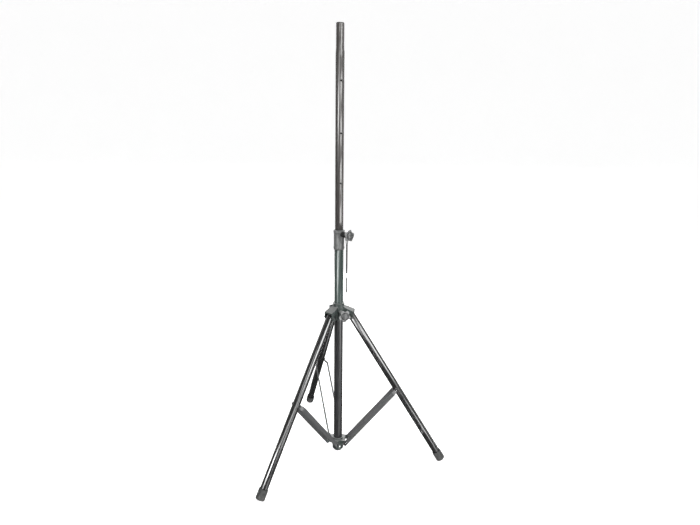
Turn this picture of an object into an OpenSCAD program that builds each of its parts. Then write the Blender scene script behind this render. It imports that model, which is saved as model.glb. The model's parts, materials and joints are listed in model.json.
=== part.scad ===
// Telescopic tripod stand for a loudspeaker, shown open and raised.
// Origin: on the floor, on the column's axis. +Z is up. Millimetres.

/* [Column] */
// Height of the top of the stand
stand_h = 1995; // [1900:5:2050]
// Outside diameter of the speaker spigot
spigot_d = 35; // [34:0.5:36]
// Length of the speaker spigot
spigot_len = 103; // [80:1:120]
// Outside diameter of the inner (sliding) tube
inner_d = 38; // [37:0.5:38]
// Outside diameter of the outer (fixed) tube
outer_d = 42; // [42:0.5:44]
// Wall of the two column tubes
tube_wall = 1.5; // [1.2:0.1:1.5]
// Height of the outer tube's upper end
outer_top = 1117; // [1110:1:1125]
// Height of the inner tube's lower end
inner_bottom = 905; // [850:5:950]
// Diameter of the lock pin holes
pin_hole_d = 8; // [7.5:0.5:9]
// Spacing of the lock pin holes
pin_pitch = 216.2; // [200:0.1:220]

/* [Legs] */
// Angle of an open leg from the vertical
leg_spread = 32.5; // [31:0.5:34]
// Distance of the leg pivots from the column's axis
pivot_r = 62; // [61:1:64]
// Height of the leg pivots
pivot_z = 717.3; // [716:0.1:719]
// Outside diameter of a leg tube
leg_d = 35; // [32:1:36]
// Wall of a leg tube
leg_wall = 1.2; // [1:0.1:2]
// Length from a leg's pivot to the end of its foot
leg_len = 841; // [839:0.5:842]
// Outside diameter of a rubber foot
foot_d = 42.5; // [41:0.5:45]
// Length of a rubber foot
foot_len = 48; // [40:1:60]

/* [Braces] */
// Distance of the brace strips' lower pivot from the column's axis
brace_foot_r = 45; // [44:1:46]
// Height of the brace strips' lower pivot
brace_foot_z = 57; // [55:1:60]
// Distance along the leg, from its pivot, of the brace's upper pivot
brace_on_leg = 418; // [412:0.5:424]
// Width of a brace strip
strip_w = 20; // [18:1:22]
// Thickness of a brace strip
strip_t = 2.5; // [2:0.1:3]
// Distance from the leg's middle plane to the middle of a strip
strip_s = 32; // [31.5:0.5:34]

/* [Knobs] */
// Diameter across a star knob's lobes
knob_d = 57; // [52:1:60]
// Height of the collar knob's axis
collar_knob_z = 1105; // [1102:1:1106]
// Direction of the collar knob
collar_knob_az = 290; // [285:1:295]
// Height of the hub knob's axis
hub_knob_z = 733; // [730:1:736]
// Direction of the hub knob
hub_knob_az = 272; // [269:1:273]

/* [Hidden] */

$fn = 96;
fine_fn = 48;                        // small round parts

// Directions of the three legs
rear = 90;
left = 210;
right = 330;
leg_directions = [rear, left, right];

// Clearances
slip = 0.05;                         // running clearance, on the radius
seat = 0.02;                         // clearance of pieces that are fixed together

// Column
outer_r = outer_d / 2;
outer_bore_r = outer_r - tube_wall;
inner_r = inner_d / 2;
inner_bore_r = inner_r - tube_wall;
spigot_r = spigot_d / 2;
spigot_bore_r = spigot_r - tube_wall;
plug_flange = 3;                     // thickness of the end plugs' flanges
spigot_base_z = stand_h - spigot_len;
taper_h = 11;                        // where the inner tube narrows to the spigot
taper_z = spigot_base_z - taper_h;
column_bottom = 12;
base_plug_z = 4;                     // underside of the column's base plug
top_pin_z = stand_h - 230;           // uppermost lock pin hole
pin_holes = 4;

// Collar
collar_top = outer_top + 5.6;
collar_bush_h = 3.8;
collar_rim_r = outer_r + 5;
collar_body_r = outer_r + 3;
collar_rim_h = 12;
collar_low_rim_r = outer_r + 4.5;
collar_low_rim_z = collar_top - 84.6;
collar_low_rim_h = 7.5;
collar_skirt_h = 7;
collar_rivet_z = collar_top - 40;

// Knobs: positions are distances from the column's axis, along the knob's own axis
stud_r = 4;                          // M8
pad_r = 6;
pad_len = 10;
pad_chamber_r = pad_r + 0.1;
pad_socket = 4.5;                    // depth of the socket that takes the stud's tip
insert_r = 7;
knob_neck_r = 12;
knob_neck = 6;
knob_star = 6;                       // thickness of the star
knob_grip_r = 17.5;
knob_grip = 6;                       // straight part of the round grip
knob_dome = 7;                       // and the height of its dome
lobe_r = 7;
lobes = 5;
collar_lobe_turn = 8;                // turn of each star, clockwise seen from its front
hub_lobe_turn = 40;
collar_boss_r = 13;
collar_boss_end = 50;
collar_insert_end = 62;
hub_boss_r = 12.5;
hub_boss_end = 61;
hub_insert_end = 69;
insert_len = 18;
knob_gap = 1;                        // between a knob and its insert when it is tight

// Hub
liner_r = outer_r + 2;
hub_bore_r = liner_r + seat;
hub_r = 27.5;
hub_ring_r = 29;
hub_bottom = 697;
hub_h = 80;
hub_top = hub_bottom + hub_h;
hub_ring_h = 4;
hub_low_ring_z = hub_top - 23;
leg_r = leg_d / 2;
ear_gap = leg_r + 1;                 // half the space between a yoke's ears
ear_t = 4.5;
ear_face = ear_gap + ear_t;
yoke_r = pivot_r + 12;               // how far a yoke reaches out
yoke_root = 16;                      // half-width of a yoke at the barrel
yoke_flare_r = 44;                   // where it reaches its full width
leg_space_r = 40;                    // the yoke is solid inside this radius
roof_in_z = hub_top - 16;            // the roof's top, at the barrel
roof_out_z = roof_in_z - 18;         // and at its outer edge
roof_t = 4.5;
lip_z = roof_out_z - 6.5;            // lower edge of the lip over a leg
lip_t = 2.5;

// Fasteners of the leg pivots
bolt_r = 4;                          // M8
hex_r = 7.5;                         // across the corners of an M8 head
bolt_head_h = 5.3;
washer_t = 1.6;
washer_r = 8;
nut_h = 6.5;

// Legs
leg_above_pivot = 11;
leg_plug_cap = 3;
leg_bore_r = leg_r - leg_wall;
foot_r = foot_d / 2;
foot_floor = 9;                      // rubber below the tube's end
foot_rim = 7;                        // rounding of the foot's rim
sleeve_r = 5.5;                      // the sleeve across a leg, for the brace's rivets
sleeve_half = leg_r - 0.7;

// Braces
strip_foot_over = 14;                // a strip runs this far past its lower pivot
strip_corner = 3;
strip_in = strip_s - strip_t / 2;
strip_out = strip_s + strip_t / 2;
tab_in = leg_r + 0.8;                // a strip's upper end lies against the leg's side
tab_out = tab_in + strip_t;
tab_r = 8;                           // rounding of the tab round its rivet
bend_from = 22;                      // the bend starts and ends this far from the rivet
bend_to = 8;
eye_half = strip_in - 1.25;          // half-width of the bracket's arms
brace_top_x = pivot_r + brace_on_leg * sin(leg_spread);
brace_top_z = pivot_z - brace_on_leg * cos(leg_spread);
brace_len = norm([brace_top_x - brace_foot_r, brace_top_z - brace_foot_z]);
brace_angle = atan2(brace_top_z - brace_foot_z, brace_top_x - brace_foot_r);
rivet_r = 4;
rivet_head_r = 6.5;
rivet_head = 2.5;
rivet_tail = 0.75;                   // an upper rivet stands this far inside its tab

// Bottom bracket
bracket_r = 27;
bracket_bottom = column_bottom + 2;
bracket_top = brace_foot_z + 16;
bracket_block_r = 34;                // how far the solid part of an arm reaches
bracket_ear_t = 5.5;
bracket_ear_r = 11;
bracket_arm_h = 21;
bracket_rivet_z = column_bottom + 18;

// Lanyard, which hangs from the neck of the collar's insert
lanyard_r = 56;
cord_r = 1.9;
cord_s = 2.4;                        // half the spacing of the two strands
cord_loop_r = insert_r + cord_r + 0.4;
cord_lean = 9;                       // lean of the strands under the loop
cord_join_z = collar_knob_z - cord_loop_r * sin(cord_lean)
              - (cord_loop_r * cos(cord_lean) - cord_s) / tan(cord_lean);
ferrule_r = 5.2;
ferrule_bottom = 912;
ferrule_h = 17;
cord_end_z = ferrule_bottom + 2;
eye_wire_r = 0.9;
eye_r = 4;
lock_pin_r = 3.5;
lock_pin_bottom = 838;
lock_pin_hole_r = 1.6;
lock_pin_tongue_t = 2.4;
lock_pin_tongue_h = 8;
pin_eye_z = ferrule_bottom - 2 * eye_r;

// ---------- Helpers ----------

// A ring or tube about Z.
module ring(outside, inside, z0, z1) {
    translate([0, 0, z0])
        difference() {
            cylinder(r = outside, h = z1 - z0);
            translate([0, 0, -1])
                cylinder(r = inside, h = z1 - z0 + 2);
        }
}

// A rod along Y, between two places.
module rod_y(r, x, z, y0, y1) {
    translate([x, y1, z])
        rotate([90, 0, 0])
            cylinder(r = r, h = y1 - y0);
}

// An outline drawn in X and Z, made solid between two places along Y.
module plate_y(y0, y1) {
    translate([0, y1, 0])
        rotate([90, 0, 0])
            linear_extrude(y1 - y0)
                children();
}

// A frame with +Z pointing outward from the column's axis, at a height.
module outward(azimuth, z) {
    rotate([0, 0, azimuth])
        translate([0, 0, z])
            rotate([0, 90, 0])
                children();
}

// A leg's frame: its pivot at the origin, the leg along -Z, the outer side at +X.
module on_leg(azimuth) {
    rotate([0, 0, azimuth])
        translate([pivot_r, 0, pivot_z])
            rotate([0, -leg_spread, 0])
                children();
}

// A brace's frame: its lower pivot at the origin, the brace along +X.
module on_brace(azimuth) {
    rotate([0, 0, azimuth])
        translate([brace_foot_r, 0, brace_foot_z])
            rotate([0, -brace_angle, 0])
                children();
}

// ---------- Column ----------

module outer_tube() {
    color("#4a5250")
        difference() {
            ring(outer_r, outer_bore_r, column_bottom, outer_top);
            outward(collar_knob_az, collar_knob_z)
                cylinder(r = pad_chamber_r, h = outer_r + 5, $fn = fine_fn);
        }
}

module upper_collar() {
    low_rim_top = collar_low_rim_z + collar_low_rim_h;
    skirt_z = collar_low_rim_z - collar_skirt_h;
    color("#5f6161")
        difference() {
            union() {
                rotate_extrude()
                    polygon([
                        [outer_r - 3, skirt_z],
                        [outer_r + 1.2, skirt_z],
                        [collar_low_rim_r, collar_low_rim_z],
                        [collar_low_rim_r, low_rim_top],
                        [collar_body_r, low_rim_top + 2],
                        [collar_body_r, collar_top - collar_rim_h - 2],
                        [collar_rim_r, collar_top - collar_rim_h],
                        [collar_rim_r, collar_top - 1.5],
                        [collar_rim_r - 1.5, collar_top],
                        [outer_r - 3, collar_top]
                    ]);
                outward(collar_knob_az, collar_knob_z)
                    cylinder(r = collar_boss_r, h = collar_boss_end);
            }
            cylinder(r = inner_r + 0.4, h = collar_top + 1);
            cylinder(r = outer_r + seat, h = outer_top + collar_bush_h + seat);
            outward(collar_knob_az, collar_knob_z)
                cylinder(r = pad_chamber_r, h = collar_boss_end + 1, $fn = fine_fn);
            outward(collar_knob_az, collar_knob_z)
                translate([0, 0, collar_insert_end - insert_len])
                    cylinder(r = insert_r + seat, h = insert_len, $fn = fine_fn);
            collar_rivet_holes(2 + seat);
        }
}

// Holes for the two rivets that hold the collar to the outer tube.
module collar_rivet_holes(r) {
    for (azimuth = [collar_knob_az - 140, collar_knob_az + 140])
        outward(azimuth, collar_rivet_z)
            translate([0, 0, outer_r - 1])
                cylinder(r = r, h = collar_body_r - outer_r + 2, $fn = fine_fn);
}

module collar_rivets() {
    color("#9a9c9e")
        for (azimuth = [collar_knob_az - 140, collar_knob_az + 140])
            outward(azimuth, collar_rivet_z) {
                translate([0, 0, outer_r + 2 * seat])
                    cylinder(r = 2, h = 3.5, $fn = fine_fn);
                translate([0, 0, collar_body_r + seat])
                    cylinder(r1 = 3.8, r2 = 2.4, h = 1.6, $fn = fine_fn);
            }
}

module collar_bush() {
    color("#d8d8d2")
        ring(outer_r, inner_r + slip, outer_top + seat, outer_top + collar_bush_h);
}

// A threaded sleeve for a knob's stud.
module threaded_insert(end) {
    translate([0, 0, end - insert_len])
        difference() {
            cylinder(r = insert_r, h = insert_len, $fn = fine_fn);
            translate([0, 0, -1])
                cylinder(r = stud_r + slip, h = insert_len + 2, $fn = fine_fn);
        }
}

module collar_insert() {
    color("#a8a8a8")
        outward(collar_knob_az, collar_knob_z)
            threaded_insert(collar_insert_end);
}

// One arm of the bracket seen from above: a solid root and two ears.
module bracket_arm_plan() {
    translate([0, -eye_half])
        square([bracket_block_r, 2 * eye_half]);
    for (y0 = [-eye_half, eye_half - bracket_ear_t])
        translate([bracket_block_r - 1, y0])
            square([brace_foot_r - bracket_block_r + 1, bracket_ear_t]);
}

module bottom_bracket() {
    color("#55585a")
        difference() {
            union() {
                translate([0, 0, bracket_bottom])
                    cylinder(r = bracket_r, h = bracket_top - bracket_bottom);
                translate([0, 0, brace_foot_z - bracket_arm_h / 2])
                    linear_extrude(bracket_arm_h)
                        for (azimuth = leg_directions)
                            rotate(azimuth)
                                bracket_arm_plan();
                for (azimuth = leg_directions)
                    rotate([0, 0, azimuth])
                        for (y0 = [-eye_half, eye_half - bracket_ear_t])
                            rod_y(bracket_ear_r, brace_foot_r, brace_foot_z, y0, y0 + bracket_ear_t);
            }
            cylinder(r = outer_r + seat, h = bracket_top + 1);
            for (azimuth = leg_directions)
                rotate([0, 0, azimuth])
                    rod_y(rivet_r + slip, brace_foot_r, brace_foot_z, -eye_half - 1, eye_half + 1);
            for (azimuth = leg_directions)
                outward(azimuth + 60, bracket_rivet_z)
                    translate([0, 0, outer_r])
                        cylinder(r = 2.5 + seat, h = 8, $fn = fine_fn);
        }
}

module bracket_rivets() {
    color("#9a9c9e")
        for (azimuth = leg_directions)
            outward(azimuth + 60, bracket_rivet_z) {
                translate([0, 0, outer_r + 2 * seat])
                    cylinder(r = 2.5, h = bracket_r - outer_r, $fn = fine_fn);
                translate([0, 0, bracket_r + seat])
                    cylinder(r1 = 4.5, r2 = 3, h = 1.8, $fn = fine_fn);
            }
}

module bottom_plug() {
    color("#2c2d2e")
        rotate_extrude()
            polygon([
                [0, base_plug_z],
                [outer_r - 2, base_plug_z],
                [outer_r, base_plug_z + 2],
                [outer_r, column_bottom - seat],
                [outer_bore_r - slip, column_bottom - seat],
                [outer_bore_r - slip, column_bottom + 22],
                [outer_bore_r - 3, column_bottom + 24],
                [0, column_bottom + 24]
            ]);
}

// ---------- Mast ----------

module inner_guide_bush() {
    flange_r = outer_bore_r - slip;
    journal_r = inner_bore_r - slip;
    color("#d8d8d2")
        difference() {
            union() {
                translate([0, 0, inner_bottom - 12])
                    cylinder(r = flange_r, h = 12 - slip);
                translate([0, 0, inner_bottom - 6])
                    cylinder(r = journal_r, h = 34);
            }
            translate([0, 0, inner_bottom - 13])
                cylinder(r = journal_r - 3, h = 42);
        }
}

module inner_tube() {
    tube_end = stand_h - plug_flange;
    color("#5c5c58")
        difference() {
            rotate_extrude()
                polygon([
                    [inner_bore_r, inner_bottom],
                    [inner_r, inner_bottom],
                    [inner_r, taper_z],
                    [spigot_r, spigot_base_z],
                    [spigot_r, tube_end],
                    [spigot_bore_r, tube_end],
                    [spigot_bore_r, spigot_base_z],
                    [inner_bore_r, taper_z]
                ]);
            for (i = [0 : pin_holes - 1])
                translate([0, 0, top_pin_z - i * pin_pitch])
                    rotate([90, 0, 0])
                        cylinder(d = pin_hole_d, h = inner_d + 2, center = true, $fn = fine_fn);
        }
}

module top_plug() {
    tube_end = stand_h - plug_flange;
    color("#2c2d2e")
        rotate_extrude()
            polygon([
                [0, tube_end - 18],
                [spigot_bore_r - slip - 1.5, tube_end - 18],
                [spigot_bore_r - slip, tube_end - 16],
                [spigot_bore_r - slip, tube_end + seat],
                [spigot_r, tube_end + seat],
                [spigot_r - 1.5, stand_h],
                [0, stand_h]
            ]);
}

// ---------- Knobs ----------

// The pad that grips the tube: its face is curved to the tube.
module clamp_pad(tube_r) {
    intersection() {
        difference() {
            cylinder(r = pad_r, h = tube_r + pad_len, $fn = fine_fn);
            rotate([0, 90, 0])
                cylinder(r = tube_r + slip, h = 40, center = true);
            translate([0, 0, tube_r + pad_len - pad_socket])
                cylinder(r = stud_r + slip, h = pad_socket + 1, $fn = fine_fn);
        }
        translate([0, 0, tube_r / 2])
            cylinder(r = pad_r + 1, h = tube_r + pad_len);
    }
}

// The section of a knob's domed grip, with a small flat on top.
module grip_outline() {
    dome = [for (a = [0 : 15 : 75]) [knob_grip_r * cos(a), knob_grip + knob_dome * sin(a)]];
    top = [0, knob_grip + knob_dome * sin(75)];
    polygon(concat([[0, -1], [knob_grip_r - 1, -1], [knob_grip_r - 1, 0]], dome, [top]));
}

// A five-lobed star knob, from its neck outward: neck, star and domed grip.
module star_knob(start, turn) {
    star_z = start + knob_neck;
    difference() {
        union() {
            translate([0, 0, start])
                cylinder(r = knob_neck_r, h = knob_neck + 1);
            translate([0, 0, star_z])
                linear_extrude(knob_star) {
                    circle(r = knob_d / 2 - lobe_r);
                    for (i = [0 : lobes - 1])
                        rotate([0, 0, (i + 0.5) * 360 / lobes - turn])
                            translate([knob_d / 2 - lobe_r, 0])
                                circle(r = lobe_r, $fn = fine_fn);
                }
            translate([0, 0, star_z + knob_star])
                rotate_extrude()
                    grip_outline();
        }
        translate([0, 0, start - 1])
            cylinder(r = stud_r + seat, h = knob_neck + knob_star + 4, $fn = fine_fn);
    }
}

module stud(tube_r, knob_start) {
    from = tube_r + pad_len - pad_socket + 0.1;
    to = knob_start + knob_neck + knob_star + 2;
    translate([0, 0, from])
        cylinder(r = stud_r, h = to - from, $fn = fine_fn);
}

module collar_clamp_pad() {
    color("#202020")
        outward(collar_knob_az, collar_knob_z)
            clamp_pad(inner_r);
}

module collar_knob() {
    color("#8c8d8d")
        outward(collar_knob_az, collar_knob_z)
            star_knob(collar_insert_end + knob_gap, collar_lobe_turn);
}

module collar_knob_stud() {
    color("#a8a8a8")
        outward(collar_knob_az, collar_knob_z)
            stud(inner_r, collar_insert_end + knob_gap);
}

module hub_clamp_pad() {
    color("#202020")
        outward(hub_knob_az, hub_knob_z)
            clamp_pad(outer_r);
}

module hub_knob() {
    color("#8c8d8d")
        outward(hub_knob_az, hub_knob_z)
            star_knob(hub_insert_end + knob_gap, hub_lobe_turn);
}

module hub_knob_stud() {
    color("#a8a8a8")
        outward(hub_knob_az, hub_knob_z)
            stud(outer_r, hub_insert_end + knob_gap);
}

// ---------- Hub ----------

// The side of a yoke, in X and Z.
module yoke_outline() {
    polygon([
        [outer_r + 1, hub_bottom + 2],
        [hub_r + 4, hub_bottom + 4],
        [pivot_r - 14, pivot_z - 14],
        [pivot_r + 3, pivot_z - 13],
        [pivot_r + 9, pivot_z - 6],
        [yoke_r, lip_z],
        [yoke_r, roof_out_z],
        [hub_r, roof_in_z],
        [outer_r + 1, roof_in_z]
    ]);
}

// The space for the leg's upper end, under the sloping roof and inside the lip.
module leg_space_outline() {
    under_slope = (roof_in_z - roof_out_z - 1) / (yoke_r - lip_t - hub_r);
    polygon([
        [leg_space_r, hub_bottom],
        [yoke_r + 1, hub_bottom],
        [yoke_r + 1, lip_z],
        [yoke_r - lip_t, lip_z],
        [yoke_r - lip_t, roof_out_z - roof_t + 1],
        [leg_space_r, roof_in_z - roof_t - under_slope * (leg_space_r - hub_r)]
    ]);
}

// A yoke seen from above: narrow at the barrel, and parallel from the ears out.
module yoke_plan() {
    polygon([
        [outer_r + 1, -yoke_root],
        [hub_r, -yoke_root],
        [yoke_flare_r, -ear_face],
        [yoke_r + 1, -ear_face],
        [yoke_r + 1, ear_face],
        [yoke_flare_r, ear_face],
        [hub_r, yoke_root],
        [outer_r + 1, yoke_root]
    ]);
}

module yoke() {
    difference() {
        intersection() {
            plate_y(-ear_face - 1, ear_face + 1)
                yoke_outline();
            translate([0, 0, hub_bottom])
                linear_extrude(hub_h)
                    yoke_plan();
        }
        plate_y(-ear_gap, ear_gap)
            leg_space_outline();
    }
}

module hub_body() {
    color("#565b5a")
        difference() {
            union() {
                ring(hub_r, outer_r, hub_bottom, hub_top);
                ring(hub_ring_r, outer_r, hub_top - hub_ring_h, hub_top);
                ring(hub_ring_r, outer_r, hub_low_ring_z, hub_low_ring_z + hub_ring_h);
                for (azimuth = leg_directions)
                    rotate([0, 0, azimuth])
                        yoke();
                outward(hub_knob_az, hub_knob_z)
                    cylinder(r = hub_boss_r, h = hub_boss_end);
            }
            translate([0, 0, hub_bottom - 1])
                cylinder(r = hub_bore_r, h = hub_top - hub_bottom + 2);
            for (azimuth = leg_directions)
                rotate([0, 0, azimuth])
                    rod_y(bolt_r + seat, pivot_r, pivot_z, -ear_face - 1, ear_face + 1);
            outward(hub_knob_az, hub_knob_z)
                cylinder(r = pad_chamber_r, h = hub_boss_end + 1, $fn = fine_fn);
            outward(hub_knob_az, hub_knob_z)
                translate([0, 0, hub_insert_end - insert_len])
                    cylinder(r = insert_r + seat, h = insert_len, $fn = fine_fn);
        }
}

module hub_liner() {
    color("#d8d8d2")
        difference() {
            ring(liner_r, outer_r + slip, hub_bottom + 1, hub_top - 1);
            outward(hub_knob_az, hub_knob_z)
                cylinder(r = pad_chamber_r, h = liner_r + 5, $fn = fine_fn);
        }
}

module hub_insert() {
    color("#a8a8a8")
        outward(hub_knob_az, hub_knob_z)
            threaded_insert(hub_insert_end);
}

module leg_pivot_bolts() {
    head_y = -ear_face - washer_t - 2 * seat;
    end_y = ear_face + washer_t + nut_h + 2;
    color("#b4b6b8")
        for (azimuth = leg_directions)
            rotate([0, 0, azimuth]) {
                rod_y(bolt_r, pivot_r, pivot_z, head_y - 1, end_y);
                translate([pivot_r, head_y, pivot_z])
                    rotate([90, 0, 0])
                        cylinder(r = hex_r, h = bolt_head_h, $fn = 6);
            }
}

module leg_pivot_washers() {
    color("#b4b6b8")
        for (azimuth = leg_directions)
            rotate([0, 0, azimuth])
                for (y0 = [-ear_face - seat - washer_t, ear_face + seat])
                    difference() {
                        rod_y(washer_r, pivot_r, pivot_z, y0, y0 + washer_t);
                        rod_y(bolt_r + seat, pivot_r, pivot_z, y0 - 1, y0 + washer_t + 1);
                    }
}

module leg_pivot_nuts() {
    nut_y = ear_face + washer_t + 2 * seat;
    color("#b4b6b8")
        for (azimuth = leg_directions)
            rotate([0, 0, azimuth])
                difference() {
                    translate([pivot_r, nut_y + nut_h, pivot_z])
                        rotate([90, 0, 0])
                            cylinder(r = hex_r, h = nut_h, $fn = 6);
                    rod_y(bolt_r + seat, pivot_r, pivot_z, nut_y - 1, nut_y + nut_h + 1);
                }
}

// ---------- Legs ----------

module leg_tube(azimuth) {
    tube_end = foot_floor - leg_len;
    color("#3c3d3d")
        on_leg(azimuth)
            difference() {
                ring(leg_r, leg_bore_r, tube_end, leg_above_pivot - leg_plug_cap);
                rod_y(bolt_r + slip, 0, 0, -leg_r - 1, leg_r + 1);
                rod_y(sleeve_r + seat, 0, -brace_on_leg, -leg_r - 1, leg_r + 1);
            }
}

module leg_top_plug(azimuth) {
    color("#2c2d2e")
        on_leg(azimuth)
            difference() {
                union() {
                    translate([0, 0, -22])
                        cylinder(r = leg_bore_r - seat, h = leg_above_pivot + 21);
                    translate([0, 0, leg_above_pivot - leg_plug_cap + seat])
                        cylinder(r1 = leg_r, r2 = leg_r - 3.5, h = leg_plug_cap - seat);
                }
                rod_y(bolt_r + slip, 0, 0, -leg_r - 1, leg_r + 1);
            }
}

// A sleeve across the leg, flush with its sides, that the brace's rivets turn in.
module leg_brace_sleeve(azimuth) {
    color("#b4b6b8")
        on_leg(azimuth)
            difference() {
                rod_y(sleeve_r, 0, -brace_on_leg, -sleeve_half, sleeve_half);
                rod_y(rivet_r + slip, 0, -brace_on_leg, -sleeve_half - 1, sleeve_half + 1);
            }
}

// The foot's section, with a rounded rim at its lower end.
module foot_outline() {
    arc = [for (a = [0 : 15 : 90]) [foot_r - foot_rim + foot_rim * cos(a), foot_rim - foot_rim * sin(a)]];
    polygon(concat(
        [[0, 0], [0, foot_floor - seat], [leg_r + seat, foot_floor - seat], [leg_r + seat, foot_len]],
        [[foot_r - 1.5, foot_len], [foot_r, foot_len - 1.5]],
        arc
    ));
}

// A rubber foot, with a small flat sole where it meets the floor.
module leg_foot(azimuth) {
    reach = pivot_r + leg_len * sin(leg_spread);
    color("#3a3b3b")
        difference() {
            on_leg(azimuth)
                translate([0, 0, -leg_len])
                    rotate_extrude()
                        foot_outline();
            rotate([0, 0, azimuth])
                translate([reach - 100, -100, -100])
                    cube([200, 200, 100]);
        }
}

// ---------- Braces ----------

// A strip seen from its flat side: clipped corners at the foot, a rounded tab at the top.
module strip_outline() {
    x0 = -strip_foot_over;
    w = strip_w / 2;
    c = strip_corner;
    shoulder = brace_len - bend_from;
    polygon([
        [x0 + c, -w], [shoulder, -w], [brace_len - bend_to, -tab_r], [brace_len, -tab_r],
        [brace_len, tab_r], [brace_len - bend_to, tab_r], [shoulder, w],
        [x0 + c, w], [x0, w - c], [x0, -w + c]
    ]);
    translate([brace_len, 0])
        circle(r = tab_r, $fn = fine_fn);
}

// A strip seen from its edge: its upper end is bent in towards the leg.
module strip_bend() {
    x1 = brace_len - bend_from;
    x2 = brace_len - bend_to;
    end = brace_len + tab_r + 1;
    polygon([
        [-strip_foot_over - 1, strip_in], [x1 - 0.5, strip_in], [x2 - 0.5, tab_in], [end, tab_in],
        [end, tab_out], [x2 + 0.5, tab_out], [x1 + 0.5, strip_out], [-strip_foot_over - 1, strip_out]
    ]);
}

// Side 0 is the strip on the positive side of the brace, side 1 its mirror image.
module brace_strip(azimuth, side) {
    color("#454647")
        on_brace(azimuth)
            mirror([0, side, 0])
                difference() {
                    intersection() {
                        plate_y(tab_in - 1, strip_out + 1)
                            strip_outline();
                        translate([0, 0, -strip_w])
                            linear_extrude(2 * strip_w)
                                strip_bend();
                    }
                    rod_y(rivet_r + seat, 0, 0, strip_in - 1, strip_out + 1);
                    rod_y(rivet_r + seat, brace_len, 0, tab_in - 1, tab_out + 1);
                }
}

// The two rivets at a brace's foot: each holds a strip and turns in one of the bracket's ears.
module brace_foot_rivets(azimuth) {
    ear_in = eye_half - bracket_ear_t;
    color("#c4c6c8")
        on_brace(azimuth)
            for (side = [0, 1])
                mirror([0, side, 0]) {
                    rod_y(rivet_r, 0, 0, ear_in - 1, strip_out + 1);
                    rod_y(rivet_head_r, 0, 0, strip_out + seat, strip_out + seat + rivet_head);
                    rod_y(rivet_r + 1.5, 0, 0, ear_in - 1.5, ear_in - slip);
                }
}

// The two short rivets at a brace's upper end, one in each strip's tab.
module brace_leg_rivets(azimuth) {
    tail_y = tab_in - rivet_tail;
    color("#c4c6c8")
        on_brace(azimuth)
            for (side = [0, 1])
                mirror([0, side, 0]) {
                    rod_y(rivet_r, brace_len, 0, tail_y, tab_out + 1);
                    rod_y(rivet_head_r, brace_len, 0, tab_out + seat, tab_out + seat + rivet_head);
                }
}

// ---------- Lanyard ----------

module strand(from, to) {
    run = to - from;
    translate([0, from[0], from[1]])
        rotate([atan2(-run[0], run[1]), 0, 0])
            cylinder(r = cord_r, h = norm(run), $fn = fine_fn);
}

// A doubled cord: a loop round the insert's neck, then two strands down to the ferrule.
module lanyard_cord() {
    loop_y = cord_loop_r * cos(cord_lean);
    loop_z = collar_knob_z - cord_loop_r * sin(cord_lean);
    color("#2e2e2e")
        rotate([0, 0, collar_knob_az])
            translate([lanyard_r, 0, 0]) {
                translate([0, 0, collar_knob_z])
                    rotate([90, 0, 90])
                        rotate([0, 0, -cord_lean])
                            rotate_extrude(angle = 180 + 2 * cord_lean)
                                translate([cord_loop_r, 0])
                                    circle(r = cord_r, $fn = fine_fn);
                for (side = [-1, 1]) {
                    strand([side * loop_y, loop_z], [side * cord_s, cord_join_z]);
                    strand([side * cord_s, cord_join_z], [side * cord_s, cord_end_z]);
                    translate([0, side * loop_y, loop_z])
                        sphere(r = cord_r + 0.05, $fn = fine_fn);
                    translate([0, side * cord_s, cord_join_z])
                        sphere(r = cord_r + 0.05, $fn = fine_fn);
                }
            }
}

// The crimped sleeve on the cord's end, with a wire eye under it.
module lanyard_ferrule() {
    color("#d4d6d8")
        rotate([0, 0, collar_knob_az])
            translate([lanyard_r, 0, 0]) {
                difference() {
                    translate([0, 0, ferrule_bottom])
                        cylinder(r = ferrule_r, h = ferrule_h, $fn = fine_fn);
                    for (side = [-1, 1])
                        translate([0, side * cord_s, cord_end_z - seat])
                            cylinder(r = cord_r + seat, h = ferrule_h, $fn = fine_fn);
                }
                translate([0, 0, pin_eye_z + eye_r])
                    rotate([90, 0, 0])
                        rotate_extrude()
                            translate([eye_r, 0])
                                circle(r = eye_wire_r, $fn = fine_fn);
            }
}

// The lock pin: a rod with a flat tongue, which hangs on the wire eye.
module lock_pin() {
    tongue_z = pin_eye_z + 3.4;
    color("#6a6c6e")
        rotate([0, 0, collar_knob_az])
            translate([lanyard_r, 0, 0])
                difference() {
                    union() {
                        translate([0, 0, lock_pin_bottom + 2])
                            cylinder(r = lock_pin_r, h = tongue_z - lock_pin_bottom - 2, $fn = fine_fn);
                        translate([0, 0, lock_pin_bottom])
                            cylinder(r1 = lock_pin_r - 1.5, r2 = lock_pin_r, h = 2, $fn = fine_fn);
                    }
                    for (x0 = [-10 - lock_pin_tongue_t / 2, lock_pin_tongue_t / 2])
                        translate([x0, -5, tongue_z - lock_pin_tongue_h])
                            cube([10, 10, lock_pin_tongue_h + 1]);
                    translate([0, 0, pin_eye_z])
                        rotate([0, 90, 0])
                            cylinder(r = lock_pin_hole_r, h = 10, center = true, $fn = fine_fn);
                }
}

outer_tube();
upper_collar();
collar_bush();
collar_insert();
collar_rivets();
bottom_bracket();
bracket_rivets();
bottom_plug();
inner_guide_bush();
inner_tube();
top_plug();
collar_clamp_pad();
collar_knob();
collar_knob_stud();
hub_body();
hub_liner();
hub_insert();
leg_pivot_bolts();
leg_pivot_washers();
leg_pivot_nuts();
hub_clamp_pad();
hub_knob();
hub_knob_stud();
leg_tube(rear);  // leg_rear_tube
leg_top_plug(rear);  // leg_rear_top_plug
leg_brace_sleeve(rear);  // leg_rear_brace_sleeve
leg_foot(rear);  // leg_rear_foot
leg_tube(left);  // leg_left_tube
leg_top_plug(left);  // leg_left_top_plug
leg_brace_sleeve(left);  // leg_left_brace_sleeve
leg_foot(left);  // leg_left_foot
leg_tube(right);  // leg_right_tube
leg_top_plug(right);  // leg_right_top_plug
leg_brace_sleeve(right);  // leg_right_brace_sleeve
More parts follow.
